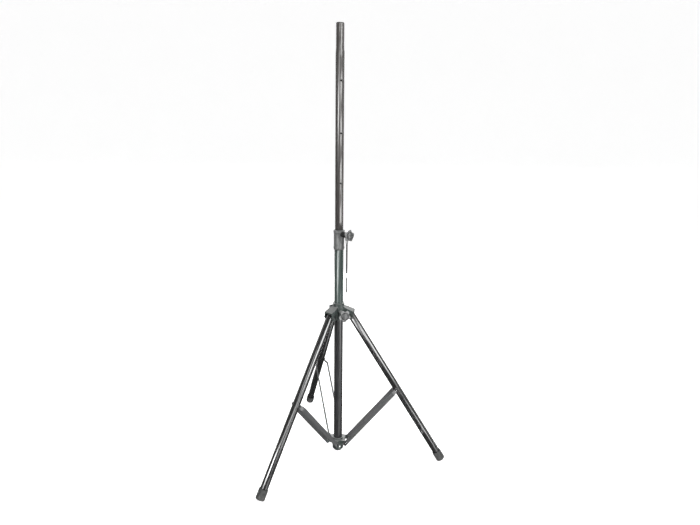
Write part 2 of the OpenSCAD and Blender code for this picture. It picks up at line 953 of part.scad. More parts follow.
leg_foot(right);  // leg_right_foot
brace_strip(rear, 0);  // brace_rear_strip_a
brace_strip(rear, 1);  // brace_rear_strip_b
brace_foot_rivets(rear);  // brace_rear_foot_rivets
brace_leg_rivets(rear);  // brace_rear_leg_rivets
brace_strip(left, 0);  // brace_left_strip_a
brace_strip(left, 1);  // brace_left_strip_b
brace_foot_rivets(left);  // brace_left_foot_rivets
brace_leg_rivets(left);  // brace_left_leg_rivets
brace_strip(right, 0);  // brace_right_strip_a
brace_strip(right, 1);  // brace_right_strip_b
brace_foot_rivets(right);  // brace_right_foot_rivets
brace_leg_rivets(right);  // brace_right_leg_rivets
lanyard_cord();
lanyard_ferrule();
lock_pin();
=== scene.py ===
import json
import math

import bmesh
import bpy
from mathutils import Matrix, Vector


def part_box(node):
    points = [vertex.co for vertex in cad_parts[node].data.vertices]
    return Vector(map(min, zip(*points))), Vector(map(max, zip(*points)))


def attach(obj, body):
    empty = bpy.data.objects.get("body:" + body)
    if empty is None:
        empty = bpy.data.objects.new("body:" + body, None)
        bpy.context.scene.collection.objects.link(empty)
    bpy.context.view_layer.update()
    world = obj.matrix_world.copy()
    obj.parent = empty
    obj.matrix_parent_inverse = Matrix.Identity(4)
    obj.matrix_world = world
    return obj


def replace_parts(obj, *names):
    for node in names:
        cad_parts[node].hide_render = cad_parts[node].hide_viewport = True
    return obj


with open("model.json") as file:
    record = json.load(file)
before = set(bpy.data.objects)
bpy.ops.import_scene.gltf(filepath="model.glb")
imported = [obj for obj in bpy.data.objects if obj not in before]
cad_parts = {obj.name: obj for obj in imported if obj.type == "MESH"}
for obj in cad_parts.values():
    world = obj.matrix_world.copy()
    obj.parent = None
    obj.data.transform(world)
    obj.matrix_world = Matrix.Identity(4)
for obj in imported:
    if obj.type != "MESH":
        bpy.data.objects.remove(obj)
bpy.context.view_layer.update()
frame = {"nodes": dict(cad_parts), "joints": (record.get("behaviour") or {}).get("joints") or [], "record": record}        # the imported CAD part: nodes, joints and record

MM = 0.001
UP = Vector((0, 0, 1))
DIRECTIONS = ("rear", "left", "right")
JOINTS = {joint["name"]: joint for joint in frame["joints"]}
NODES = frame["nodes"]


# ---------- Materials ----------

NOISE_LOW = 0.3              # most of a noise's values lie between these two
NOISE_HIGH = 0.7


class Paint:
    """A material under construction: a principled shader and short calls for the nodes that feed it.

    The scales of noise and cells count features in a metre."""

    def __init__(self, name, roughness, metallic=0.0, specular=0.5):
        self.material = bpy.data.materials.new(name)
        self.material.use_nodes = True
        self.tree = self.material.node_tree
        self.shader = self.tree.nodes["Principled BSDF"]
        self.shader.inputs["Roughness"].default_value = roughness
        self.shader.inputs["Metallic"].default_value = metallic
        self.shader.inputs["Specular IOR Level"].default_value = specular
        self.place = self.tree.nodes.new("ShaderNodeTexCoord").outputs["Object"]

    def link(self, source, target):
        self.tree.links.new(source, target)

    def stretched(self, scale):
        """The object's own coordinates, scaled along each axis."""
        node = self.tree.nodes.new("ShaderNodeMapping")
        node.inputs["Scale"].default_value = scale
        self.link(self.place, node.inputs["Vector"])
        return node.outputs["Vector"]

    def noise(self, scale, detail=3.0, stretch=None):
        node = self.tree.nodes.new("ShaderNodeTexNoise")
        node.inputs["Scale"].default_value = scale
        node.inputs["Detail"].default_value = detail
        self.link(self.stretched(stretch) if stretch else self.place, node.inputs["Vector"])
        return node.outputs["Fac"]

    def cells(self, scale):
        node = self.tree.nodes.new("ShaderNodeTexVoronoi")
        node.inputs["Scale"].default_value = scale
        self.link(self.place, node.inputs["Vector"])
        return node.outputs["Distance"]

    def spread(self, value, low, high, out_low=0.0, out_high=1.0):
        """Maps low..high of a value to out_low..out_high, clamped."""
        node = self.tree.nodes.new("ShaderNodeMapRange")
        node.inputs["From Min"].default_value = low
        node.inputs["From Max"].default_value = high
        node.inputs["To Min"].default_value = out_low
        node.inputs["To Max"].default_value = out_high
        self.link(value, node.inputs["Value"])
        return node.outputs["Result"]

    def drift(self, scale, out_low=0.0, out_high=1.0, detail=3.0, stretch=None):
        """A value that wanders from out_low to out_high over the surface."""
        return self.spread(self.noise(scale, detail, stretch), NOISE_LOW, NOISE_HIGH, out_low, out_high)

    def times(self, a, b):
        node = self.tree.nodes.new("ShaderNodeMath")
        node.operation = "MULTIPLY"
        self.link(a, node.inputs[0])
        self.link(b, node.inputs[1])
        return node.outputs["Value"]

    def mix(self, factor, a, b):
        """A colour between a and b, which are colours or sockets."""
        node = self.tree.nodes.new("ShaderNodeMix")
        node.data_type = "RGBA"
        self.link(factor, node.inputs["Factor"])
        for value, socket in ((a, node.inputs["A"]), (b, node.inputs["B"])):
            if isinstance(value, tuple):
                socket.default_value = (*value, 1.0)
            else:
                self.link(value, socket)
        return node.outputs["Result"]

    def edges(self, radius):
        """1 on sharp edges and 0 on open surfaces."""
        flat_dot = 0.99          # cosine between the true and the rounded normal, off the edges
        sharp_dot = 0.85         # and on them
        bevel = self.tree.nodes.new("ShaderNodeBevel")
        bevel.samples = 4
        bevel.inputs["Radius"].default_value = radius
        flat = self.tree.nodes.new("ShaderNodeNewGeometry")
        dot = self.tree.nodes.new("ShaderNodeVectorMath")
        dot.operation = "DOT_PRODUCT"
        self.link(bevel.outputs["Normal"], dot.inputs[0])
        self.link(flat.outputs["Normal"], dot.inputs[1])
        return self.spread(dot.outputs["Value"], flat_dot, sharp_dot)

    def height(self):
        """The height above the floor, in metres."""
        node = self.tree.nodes.new("ShaderNodeSeparateXYZ")
        self.link(self.place, node.inputs["Vector"])
        return node.outputs["Z"]

    def radius(self):
        """The distance from the column's axis, in metres."""
        flat = self.stretched((1, 1, 0))
        node = self.tree.nodes.new("ShaderNodeVectorMath")
        node.operation = "LENGTH"
        self.link(flat, node.inputs[0])
        return node.outputs["Value"]

    def upward(self, low, high):
        """1 on faces that look up, by the height of their normal."""
        normal = self.tree.nodes.new("ShaderNodeSeparateXYZ")
        self.link(self.tree.nodes.new("ShaderNodeNewGeometry").outputs["Normal"], normal.inputs["Vector"])
        return self.spread(normal.outputs["Z"], low, high)

    def bump(self, value, strength, depth):
        node = self.tree.nodes.new("ShaderNodeBump")
        node.inputs["Strength"].default_value = strength
        node.inputs["Distance"].default_value = depth
        self.link(value, node.inputs["Height"])
        self.link(node.outputs["Normal"], self.shader.inputs["Normal"])

    def colour(self, value):
        self.link(value, self.shader.inputs["Base Color"])

    def roughness(self, value):
        self.link(value, self.shader.inputs["Roughness"])


BARE_STEEL = (0.30, 0.30, 0.30)
DUST = (0.16, 0.155, 0.145)
RUB_MARK = (0.16, 0.17, 0.17)
ORANGE_PEEL = 420.0
ORANGE_PEEL_STRENGTH = 0.06
ORANGE_PEEL_DEPTH = 0.08 * MM
GREEN_FROM = 0.70            # heights, in metres, over which the column turns green
GREEN_TO = 0.80
BOSS_SHADE_FROM = 27.5 * MM        # distances from the column's axis over which a clamp boss turns to its painted shade
BOSS_SHADE_TO = 28.5 * MM
DUST_TOP = 0.055             # height above the floor, in metres, that dust reaches on the feet


def shaded(colour, factor, lift=0.0):
    """A colour made lighter or darker by a factor, and lifted."""
    return tuple(min(1.0, channel * factor + lift) for channel in colour)


def powder_coat(name, colour, roughness, streaks=False, specular=0.55):
    """Baked paint on steel: orange peel, faint mottling, and bare metal showing through on worn edges."""
    paint = Paint(name, roughness, specular=specular)
    mottled = paint.mix(paint.drift(9.0), shaded(colour, 0.93), shaded(colour, 1.07))
    speck = paint.spread(paint.noise(700.0, 1.0), 0.60, 0.72, 0.0, 0.35)
    mottled = paint.mix(speck, mottled, shaded(colour, 1.9, 0.01))
    if streaks:
        lines = paint.noise(1.0, 2.0, stretch=(900.0, 900.0, 5.0))
        mottled = paint.mix(paint.spread(lines, 0.62, 0.74, 0.0, 0.28), mottled, BARE_STEEL)
    wear = paint.spread(paint.noise(60.0), 0.42, 0.62, 0.0, 0.5)
    paint.colour(paint.mix(paint.times(paint.edges(0.9 * MM), wear), mottled, BARE_STEEL))
    paint.roughness(paint.drift(40.0, roughness - 0.01, roughness + 0.02))
    paint.bump(paint.noise(ORANGE_PEEL, 2.0), ORANGE_PEEL_STRENGTH, ORANGE_PEEL_DEPTH)
    return paint.material


def column_coat(name, green, neutral, roughness):
    """The column's coat: greener above the hub, with fine lines and pale rub marks along it."""
    paint = Paint(name, roughness, specular=0.55)
    base = paint.mix(paint.spread(paint.height(), GREEN_FROM, GREEN_TO), neutral, green)
    marked = paint.mix(paint.spread(paint.noise(9.0), 0.35, 0.7, 0.0, 0.10), base, RUB_MARK)
    lines = paint.noise(1.0, 2.0, stretch=(800.0, 800.0, 4.0))
    paint.colour(paint.mix(paint.spread(lines, 0.60, 0.74, 0.0, 0.20), marked, BARE_STEEL))
    along = (300.0, 300.0, 6.0)
    paint.roughness(paint.drift(1.0, roughness - 0.01, roughness + 0.03, detail=2.0, stretch=along))
    paint.bump(paint.noise(ORANGE_PEEL, 2.0), ORANGE_PEEL_STRENGTH, ORANGE_PEEL_DEPTH)
    return paint.material


def moulded(name, colour, roughness, grain=0.35, painted_boss_shade=None, top=None):
    """Moulded plastic: a spark-eroded grain, slow colour drift, and edges polished by handling.

    boss is a near-black colour painted as shade on what stands well out from the column's axis, and top is a
    lighter colour painted as light from above on faces that look up."""
    paint = Paint(name, roughness, specular=0.45)
    tinted = paint.mix(paint.drift(25.0), shaded(colour, 0.85), shaded(colour, 1.12))
    worn = paint.spread(paint.noise(80.0), 0.35, 0.6, 0.1, 0.55)
    base = paint.mix(paint.times(paint.edges(1.2 * MM), worn), tinted, shaded(colour, 1.7, 0.03))
    # Painted shade: the parts of this plastic beyond the boss distances turn near-black, standing in for the
    # shadow of the knob.
    if painted_boss_shade:
        base = paint.mix(paint.spread(paint.radius(), BOSS_SHADE_FROM, BOSS_SHADE_TO), base, painted_boss_shade)
    # Painted light: faces that look up turn lighter, as if lit from above.
    if top:
        base = paint.mix(paint.upward(0.35, 0.75), base, top)
    paint.colour(base)
    paint.roughness(paint.drift(150.0, roughness - 0.06, roughness + 0.08))
    paint.bump(paint.cells(1100.0), grain, 0.10 * MM)
    return paint.material


def rubber(name, colour):
    """Moulded rubber: dull, with a little dust near the floor."""
    paint = Paint(name, 0.72, specular=0.35)
    dusty = paint.spread(paint.height(), DUST_TOP, 0.0, 0.0, 0.5)
    patchy = paint.times(dusty, paint.spread(paint.noise(70.0, 5.0), 0.35, 0.65))
    paint.colour(paint.mix(patchy, colour, DUST))
    paint.roughness(paint.drift(120.0, 0.62, 0.86))
    paint.bump(paint.noise(900.0, 4.0), 0.4, 0.15 * MM)
    return paint.material


def steel(name, colour, roughness, tint):
    """Plated steel: cloudy plating, fine brushing, and a tint that drifts."""
    paint = Paint(name, roughness, metallic=1.0)
    paint.colour(paint.mix(paint.spread(paint.noise(140.0, 4.0), 0.35, 0.65), colour, tint))
    brushing = (3000.0, 700.0, 3000.0)
    paint.roughness(paint.drift(1.0, roughness * 0.7, roughness * 1.35, stretch=brushing))
    paint.bump(paint.noise(500.0), 0.12, 0.05 * MM)
    return paint.material


def nylon(name, colour):
    """Pale nylon that lets a little light in."""
    paint = Paint(name, 0.42)
    paint.shader.inputs["Subsurface Weight"].default_value = 0.15
    paint.shader.inputs["Subsurface Radius"].default_value = (2 * MM, 2 * MM, 2 * MM)
    paint.colour(paint.mix(paint.noise(50.0), colour, shaded(colour, 0.82)))
    paint.roughness(paint.drift(200.0, 0.36, 0.52))
    paint.bump(paint.noise(800.0), 0.15, 0.05 * MM)
    return paint.material


def braid(name, colour):
    """Braided polyester cord: fibres over the plaited shape of the mesh."""
    paint = Paint(name, 0.8, specular=0.3)
    paint.shader.inputs["Sheen Weight"].default_value = 0.5
    paint.shader.inputs["Sheen Roughness"].default_value = 0.4
    fibres = paint.noise(1.0, 4.0, stretch=(4000.0, 4000.0, 900.0))
    paint.colour(paint.mix(paint.spread(fibres, 0.4, 0.65), colour, shaded(colour, 2.6)))
    paint.bump(fibres, 0.5, 0.15 * MM)
    return paint.material


MATERIALS = {
    "column_paint": column_coat("column_paint", (0.030, 0.047, 0.042), (0.024, 0.024, 0.025), 0.24),
    "mast_paint": powder_coat("mast_paint", (0.044, 0.041, 0.039), 0.20, streaks=True),
    "leg_paint": powder_coat("leg_paint", (0.016, 0.016, 0.016), 0.15, specular=1.0),
    "brace_paint": powder_coat("brace_paint", (0.060, 0.061, 0.062), 0.46),
    # the collar plastic's near-black boss colour is painted shade
    "collar_plastic": moulded("collar_plastic", (0.105, 0.108, 0.107), 0.42, painted_boss_shade=(0.012, 0.012, 0.012)),
    # the hub plastic's lighter top colour is painted light from above
    "hub_plastic": moulded("hub_plastic", (0.045, 0.055, 0.052), 0.34, top=(0.15, 0.155, 0.152)),
    # the knob's star and grip are one plastic: the star's light grey is painted light, and the grip's darker
    # copy below is painted shade
    "knob_plastic": moulded("knob_plastic", (0.17, 0.172, 0.172), 0.40, grain=0.2),
    "plug_plastic": moulded("plug_plastic", (0.022, 0.022, 0.023), 0.50),
    "foot_rubber": rubber("foot_rubber", (0.045, 0.046, 0.046)),
    "pad_rubber": rubber("pad_rubber", (0.02, 0.02, 0.02)),
    "nylon": nylon("nylon", (0.66, 0.66, 0.61)),
    "zinc_steel": steel("zinc_steel", (0.56, 0.57, 0.58), 0.34, (0.50, 0.49, 0.44)),
    "bright_steel": steel("bright_steel", (0.88, 0.89, 0.90), 0.16, (0.80, 0.81, 0.82)),
    "pin_steel": steel("pin_steel", (0.20, 0.20, 0.21), 0.38, (0.13, 0.13, 0.13)),
    "dark_steel": steel("dark_steel", (0.16, 0.17, 0.17), 0.30, (0.10, 0.105, 0.10)),
    "cord": braid("cord", (0.016, 0.016, 0.017)),
}
# Painted shade: a darker copy of the knob's plastic for the grip, which is the same plastic as the star.
GRIP_PLASTIC_PAINTED_SHADE = moulded("grip_plastic_painted_shade", (0.060, 0.062, 0.062), 0.26, grain=0.1)
NODE_SLOT = {part["node"]: part["material_slot"] for part in frame["record"]["subparts"]}


def dress(obj, *materials):
    """Gives an object its materials. Clearing resets faces' material numbers, so a new mesh isn't cleared."""
    if len(obj.data.materials):
        obj.data.materials.clear()
    for material in materials:
        obj.data.materials.append(material)


for node_name, node_object in NODES.items():
    dress(node_object, MATERIALS[NODE_SLOT[node_name]])


# ---------- Rounded edges on the CAD parts ----------

WELD_DISTANCE = 0.01 * MM
ROUNDED_ANGLE = math.radians(38)             # edges sharper than this are rounded
ROUNDINGS = {                                # width of the rounding, in millimetres
    "hub_body": 1.0, "upper_collar": 0.5, "bottom_bracket": 0.8,
    "bottom_plug": 0.6, "top_plug": 0.4, "inner_tube": 0.3,
    "outer_tube": 0.3, "leg_pivot_bolts": 0.4, "leg_pivot_nuts": 0.4,
    "leg_pivot_washers": 0.25, "bracket_rivets": 0.4, "collar_rivets": 0.4,
    "collar_insert": 0.4, "hub_insert": 0.4, "lock_pin": 0.25,
}
ARM_ROUNDINGS = {                            # and for the parts that each leg and brace has
    "brace_{}_strip_a": 0.4, "brace_{}_strip_b": 0.4,
    "leg_{}_tube": 0.3, "leg_{}_top_plug": 0.5,
}
RIVET_ROUNDING = 0.7 * MM
RIVET_SEGMENTS = 3


def soften(node_name, width, segments=2):
    """Rounds a CAD node's sharp edges with modifiers, so its mesh stays as it is."""
    obj = NODES[node_name]
    weld = obj.modifiers.new("weld", "WELD")
    weld.merge_threshold = WELD_DISTANCE
    bevel = obj.modifiers.new("rounding", "BEVEL")
    bevel.width = width
    bevel.segments = segments
    bevel.limit_method = "ANGLE"
    bevel.angle_limit = ROUNDED_ANGLE
    bevel.use_clamp_overlap = True
    bevel.harden_normals = True


for name, width in ROUNDINGS.items():
    soften(name, width * MM)
for direction in DIRECTIONS:
    for pattern, width in ARM_ROUNDINGS.items():
        soften(pattern.format(direction), width * MM)
    for part in ("foot_rivets", "leg_rivets"):
        soften(f"brace_{direction}_{part}", RIVET_ROUNDING, RIVET_SEGMENTS)


# ---------- Mesh helpers ----------

SHARP_ANGLE = math.radians(40)


def new_piece(name, mesh, body, slot, *materials):
    """A finished bmesh as a piece that rides on a body and takes its finish from a material slot."""
    data = bpy.data.meshes.new(name)
    bmesh.ops.recalc_face_normals(mesh, faces=mesh.faces)
    mesh.to_mesh(data)
    mesh.free()
    obj = bpy.data.objects.new(name, data)
    bpy.context.scene.collection.objects.link(obj)
    dress(obj, *(materials or (MATERIALS[slot],)))
    data.shade_smooth()
    data.set_sharp_from_angle(angle=SHARP_ANGLE)
    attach(obj, body)
    return obj


def frame_along(origin, axis, side):
    """A matrix whose Z runs along axis, with X as near side as it can be."""
    z = Vector(axis).normalized()
    y = z.cross(Vector(side)).normalized()
    x = y.cross(z)
    matrix = Matrix((x, y, z)).transposed().to_4x4()
    matrix.translation = origin
    return matrix


def rings_to_mesh(mesh, rings, closed=False, material_of=None):
    """Skins a stack of rings of points. Closed joins the last ring to the first, and open ends get a cap."""
    rows = [[mesh.verts.new(point) for point in ring] for ring in rings]
    pairs = list(zip(rows, rows[1:]))
    if closed:
        pairs.append((rows[-1], rows[0]))
    for index, (low, high) in enumerate(pairs):
        for i in range(len(low)):
            j = (i + 1) % len(low)
            face = mesh.faces.new((low[i], low[j], high[j], high[i]))
            face.material_index = material_of(index) if material_of else 0
    if not closed:
        mesh.faces.new(rows[0])
        cap = mesh.faces.new(rows[-1])
        cap.material_index = material_of(len(pairs) - 1) if material_of else 0


def turn_angles(steps):
    """Angles spaced evenly round one turn, in radians."""
    return [2 * math.pi * i / steps for i in range(steps)]


def lathe(profile, steps):
    """Rings for a closed section of (radius, height) points turned about Z."""
    angles = turn_angles(steps)
    return [[(r * math.cos(a), r * math.sin(a), z) for a in angles] for r, z in profile]


def arc(centre, radius, start, end, steps):
    """Points (radius, height) on an arc, with angles in degrees."""
    points = []
    for i in range(steps + 1):
        a = math.radians(start + (end - start) * i / steps)
        points.append((centre[0] + radius * math.cos(a), centre[1] + radius * math.sin(a)))
    return points


def extent(node_name, origin, axis):
    """How far a CAD node reaches along an axis, and from it."""
    direction = Vector(axis).normalized()
    along = []
    away = []
    for vertex in NODES[node_name].data.vertices:
        offset = vertex.co - origin
        reach = offset.dot(direction)
        along.append(reach)
        away.append((offset - direction * reach).length)
    return min(along), max(along), max(away)


# ---------- Star knobs ----------

LOBES = 5
LOBE_DEPTH = 0.27            # of the star's own radius
LOBE_FLATNESS = 0.75         # below 1 the lobes are broad and the notches narrow
KNOB_STEPS = 200
COLLAR_LOBE_TURN = 8         # degrees, clockwise seen from the knob's front
HUB_LOBE_TURN = 40


def knob_section(tip, start, end):
    """Rings of the knob as (distance along it, radius of the round part, share of the star's outline)."""
    neck = 12 * MM
    grip = 17.2 * MM
    neck_length = 6 * MM
    star_thickness = 6 * MM
    grip_length = 6 * MM
    edge = 1.8 * MM
    star = start + neck_length
    top = star + star_thickness
    rows = [
        (start, neck - 1.0 * MM, 0), (start + 0.8 * MM, neck, 0), (star - 0.8 * MM, neck, 0),
        (star - 0.3 * MM, neck + 0.4 * MM, 0), (star, neck + 2.0 * MM, 0),
    ]
    rises = [math.radians(a) for a in range(0, 91, 30)]
    for rise in rises:
        rows.append((star + edge * (1 - math.cos(rise)), tip - edge * (1 - math.sin(rise)), 1))
    for rise in rises:
        rows.append((top - edge * (1 - math.sin(rise)), tip - edge * (1 - math.cos(rise)), 1))
    rows.append((top - 0.1 * MM, tip - 3.2 * MM, 0.85))
    first_grip = len(rows)
    rows += [
        (top, grip + 1.4 * MM, 0), (top + 0.3 * MM, grip + 0.4 * MM, 0), (top + 1.0 * MM, grip, 0),
        (top + 4.0 * MM, grip + 0.3 * MM, 0), (top + 5.5 * MM, grip + 0.8 * MM, 0),
    ]
    dome = end - (top + grip_length)
    dome_r = grip + 0.9 * MM
    for a in range(10, 80, 8):
        rise = math.radians(a)
        rows.append((end - dome + dome * math.sin(rise), dome_r * math.cos(rise), 0))
    rows += [(end - 0.15 * MM, 2.6 * MM, 0), (end - 0.5 * MM, 1.9 * MM, 0), (end - 0.6 * MM, 0.5 * MM, 0)]
    return rows, first_grip


def star_knob(name, node_name, body, joint_name, turn):
    """A lobed star with a domed grip in its middle. turn is the star's, clockwise seen from its front."""
    joint = JOINTS[joint_name]
    origin = Vector(joint["pos_m"])
    start, end, tip = extent(node_name, origin, joint["axis"])
    rows, first_grip = knob_section(tip, start, end)
    rings = []
    for reach, radius, share in rows:
        ring = []
        for angle in turn_angles(KNOB_STEPS):
            lobe = (0.5 + 0.5 * math.cos(LOBES * (angle + math.radians(turn)))) ** LOBE_FLATNESS
            r = radius - share * LOBE_DEPTH * tip * (1 - lobe)
            ring.append((r * math.cos(angle), r * math.sin(angle), reach))
        rings.append(ring)
    mesh = bmesh.new()
    # the grip rings take the darker copy of the knob's plastic, as painted shade against the lighter star
    rings_to_mesh(mesh, rings, material_of=lambda index: 1 if index >= first_grip else 0)
    bmesh.ops.transform(mesh, matrix=frame_along(origin, joint["axis"], UP), verts=mesh.verts)
    piece = new_piece(name, mesh, body, "knob_plastic", MATERIALS["knob_plastic"], GRIP_PLASTIC_PAINTED_SHADE)
    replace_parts(piece, node_name)


star_knob("collar_star_knob", "collar_knob", "collar_knob", "collar_knob_turn", COLLAR_LOBE_TURN)
star_knob("hub_star_knob", "hub_knob", "hub_knob", "hub_knob_turn", HUB_LOBE_TURN)


# ---------- Rubber feet ----------

FOOT_STEPS = 96
FOOT_CLEARANCE = 0.1 * MM
GROOVES = (17 * MM, 24 * MM, 31 * MM)        # distances up from the foot's end


def foot_profile(outer, length, tube):
    """The section of a ribbed foot, as (radius, distance up from its end)."""
    floor = 9 * MM               # thickness under the tube
    rim = 7 * MM                 # radius of the worn lower rim
    groove = 1.1 * MM            # depth of a groove, and half its width at the bottom
    centre_hole = 0.4 * MM
    points = [(centre_hole, 0.0), (outer - rim - 3 * MM, 0.0)]
    points += arc((outer - rim, rim), rim, -90, 0, 8)
    for centre in GROOVES:
        points += [
            (outer, centre - 2.0 * MM), (outer - 0.3 * MM, centre - 1.5 * MM),
            (outer - groove, centre - groove), (outer - groove, centre + groove),
            (outer - 0.3 * MM, centre + 1.5 * MM), (outer, centre + 2.0 * MM),
        ]
    points += [(outer, length - 9 * MM), (outer - 0.9 * MM, length - 7.5 * MM)]
    points += arc((outer - 1.9 * MM, length - 1.2 * MM), 1.2 * MM, 0, 180, 6)
    points += [(tube, length - 3 * MM), (tube, floor), (centre_hole, floor)]
    return points


def rubber_foot(direction):
    """A foot on the end of the open leg, cut flat where it meets the floor."""
    hinge = JOINTS[f"leg_{direction}_hinge"]
    pivot = Vector(hinge["pos_m"])
    spread = math.radians(hinge["range_deg"][1])
    outward = Vector((pivot.x, pivot.y, 0)).normalized()
    down = outward * math.sin(spread) - UP * math.cos(spread)
    node_name = f"leg_{direction}_foot"
    near, far, outer = extent(node_name, pivot, down)
    tube = extent(f"leg_{direction}_tube", pivot, down)[2]
    mesh = bmesh.new()
    profile = foot_profile(outer, far - near, tube + FOOT_CLEARANCE)
    rings_to_mesh(mesh, lathe(profile, FOOT_STEPS), closed=True)
    bmesh.ops.transform(mesh, matrix=frame_along(pivot + down * far, -down, outward), verts=mesh.verts)
    cut = bmesh.ops.bisect_plane(
        mesh, geom=mesh.verts[:] + mesh.edges[:] + mesh.faces[:],
        plane_co=(0, 0, 0), plane_no=UP, clear_inner=True,
    )
    edges = [item for item in cut["geom_cut"] if isinstance(item, bmesh.types.BMEdge)]
    bmesh.ops.holes_fill(mesh, edges=edges, sides=0)
    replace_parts(new_piece(f"foot_{direction}", mesh, f"leg_{direction}", "foot_rubber"), node_name)


for direction in DIRECTIONS:
    rubber_foot(direction)


# ---------- Lanyard ----------

CORD_R = 1.9 * MM
CORD_GAP = 2.4 * MM          # from the middle plane to each strand
CORD_SPACING = 0.45 * MM     # between rings of the mesh
CORD_STEPS = 24
INSERT_R = 7 * MM            # the neck that the loop hangs on
LOOP_SLACK = 0.4 * MM
LOOP_LEAN = math.radians(9)  # of the strands where they leave the loop
PLAIT = 5.2 * MM             # length of one plait
PLAIT_COUNT = 4
PLAIT_DEPTH = 0.07           # of the cord's radius


def lanyard_frame():
    """The knob's axis at the loop, the sideways direction, and the loop's centre."""
    joint = JOINTS["lanyard_swing"]
    axis = Vector(joint["axis"]).normalized()
    low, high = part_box("lanyard_ferrule")
    middle = (low + high) / 2
    reach = (middle - Vector(joint["pos_m"])).dot(axis)
    return axis, UP.cross(axis), Vector(joint["pos_m"]) + axis * reach


def cord_path(side, centre, end_z):
    """Points down one strand, over the insert's neck, and down the other."""
    loop_r = INSERT_R + CORD_R + LOOP_SLACK
    widest = loop_r * math.cos(LOOP_LEAN)
    drop = (widest - CORD_GAP) / math.tan(LOOP_LEAN)
    join_z = centre.z - loop_r * math.sin(LOOP_LEAN) - drop
    straight_steps = 60
    lean_steps = 24
    loop_steps = 40
    ease = 0.15                  # share of the lean that starts and ends smoothly
    half = []
    for i in range(straight_steps):
        half.append(Vector((CORD_GAP, end_z + (join_z - end_z) * i / straight_steps)))
    for i in range(lean_steps):
        t = i / lean_steps
        eased = t * t * (3 - 2 * t) * ease + t * (1 - ease)
        half.append(Vector((CORD_GAP + (widest - CORD_GAP) * eased, join_z + drop * t)))
    loop = []
    for i in range(loop_steps + 1):
        a = -LOOP_LEAN + (math.pi + 2 * LOOP_LEAN) * i / loop_steps
        loop.append(Vector((loop_r * math.cos(a), centre.z + loop_r * math.sin(a))))
    flat = half + loop + [Vector((-p.x, p.y)) for p in reversed(half)]
    base = Vector((centre.x, centre.y, 0))
    return [base + side * p.x + UP * p.y for p in flat]


def resample(points, spacing):
    """The same path with even spacing."""
    lengths = [0.0]
    for a, b in zip(points, points[1:]):
        lengths.append(lengths[-1] + (b - a).length)
    count = max(2, int(lengths[-1] / spacing))
    even = []
    k = 0
    for i in range(count + 1):
        target = lengths[-1] * i / count
        while k < len(lengths) - 2 and lengths[k + 1] < target:
            k += 1
        run = lengths[k + 1] - lengths[k]
        even.append(points[k].lerp(points[k + 1], (target - lengths[k]) / run if run else 0))
    return even


def plaited_cord():
    """The doubled cord, with its strands plaited over each other."""
    axis, side, centre = lanyard_frame()
    end_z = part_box("lanyard_cord")[0].z
    path = resample(cord_path(side, centre, end_z), CORD_SPACING)
    rings = []
    travelled = 0.0
    for i, point in enumerate(path):
        ahead = path[min(i + 1, len(path) - 1)]
        behind = path[max(i - 1, 0)]
        tangent = (ahead - behind).normalized()
        across = axis.cross(tangent).normalized()
        if i:
            travelled += (point - path[i - 1]).length
        phase = 2 * math.pi * travelled / PLAIT
        ring = []
        for a in turn_angles(CORD_STEPS):
            over = math.cos(PLAIT_COUNT * a + phase) * math.cos(PLAIT_COUNT * a - phase)
            r = CORD_R * (1 - PLAIT_DEPTH + PLAIT_DEPTH * over)
            ring.append(point + across * (r * math.cos(a)) + axis * (r * math.sin(a)))
        rings.append(ring)
    mesh = bmesh.new()
    rings_to_mesh(mesh, rings)
    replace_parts(new_piece("plaited_cord", mesh, "lanyard", "cord"), "lanyard_cord")


FERRULE_R = 5.2 * MM
FERRULE_LENGTH = 17 * MM
FERRULE_ROWS = 68
FERRULE_STEPS = 72
END_ROUNDING = 0.8 * MM      # length of the rolled ends
END_NARROWING = 0.6 * MM
CRIMPS = (0.25, 0.5, 0.75)   # places along the sleeve
CRIMP_WIDTH = 1.1 * MM
CRIMP_DEPTH = 0.55 * MM      # all round
CRIMP_PINCH = 0.35 * MM      # and more on two opposite sides
EYE_WIRE_R = 0.9 * MM
EYE_STEPS = 48
EYE_WIRE_STEPS = 14


def sleeve_rings(centre, bottom):
    """Rings of the crimped sleeve, from its lower end up."""
    rings = []
    for i in range(FERRULE_ROWS + 1):
        t = i / FERRULE_ROWS
        end_round = min(1.0, min(t, 1 - t) * FERRULE_LENGTH / END_ROUNDING)
        narrowing = END_NARROWING * (1 - math.sqrt(end_round))
        crimp = sum(math.exp(-(((t - place) * FERRULE_LENGTH) / CRIMP_WIDTH) ** 2) for place in CRIMPS)
        ring = []
        for a in turn_angles(FERRULE_STEPS):
            r = FERRULE_R - narrowing - crimp * (CRIMP_DEPTH + CRIMP_PINCH * math.cos(2 * a))
            ring.append((centre.x + r * math.cos(a), centre.y + r * math.sin(a), bottom + FERRULE_LENGTH * t))
        rings.append(ring)
    return rings


def crimped_ferrule():
    """A sleeve with three crimps and rolled ends, and a wire eye under it."""
    axis, side, centre = lanyard_frame()
    low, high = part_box("lanyard_ferrule")
    bottom = high.z - FERRULE_LENGTH
    eye_r = (bottom - low.z - EYE_WIRE_R) / 2
    eye_centre = Vector((centre.x, centre.y, bottom - eye_r))
    eye = []
    for a in turn_angles(EYE_STEPS):
        radial = side * math.cos(a) + UP * math.sin(a)
        middle = eye_centre + radial * eye_r
        eye.append([
            middle + radial * (EYE_WIRE_R * math.cos(b)) + axis * (EYE_WIRE_R * math.sin(b))
            for b in turn_angles(EYE_WIRE_STEPS)
        ])
    mesh = bmesh.new()
    rings_to_mesh(mesh, sleeve_rings(centre, bottom))
    rings_to_mesh(mesh, eye, closed=True)
    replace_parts(new_piece("crimped_ferrule", mesh, "lanyard", "bright_steel"), "lanyard_ferrule")


plaited_cord()
crimped_ferrule()


# ---------- Floor, light and camera ----------

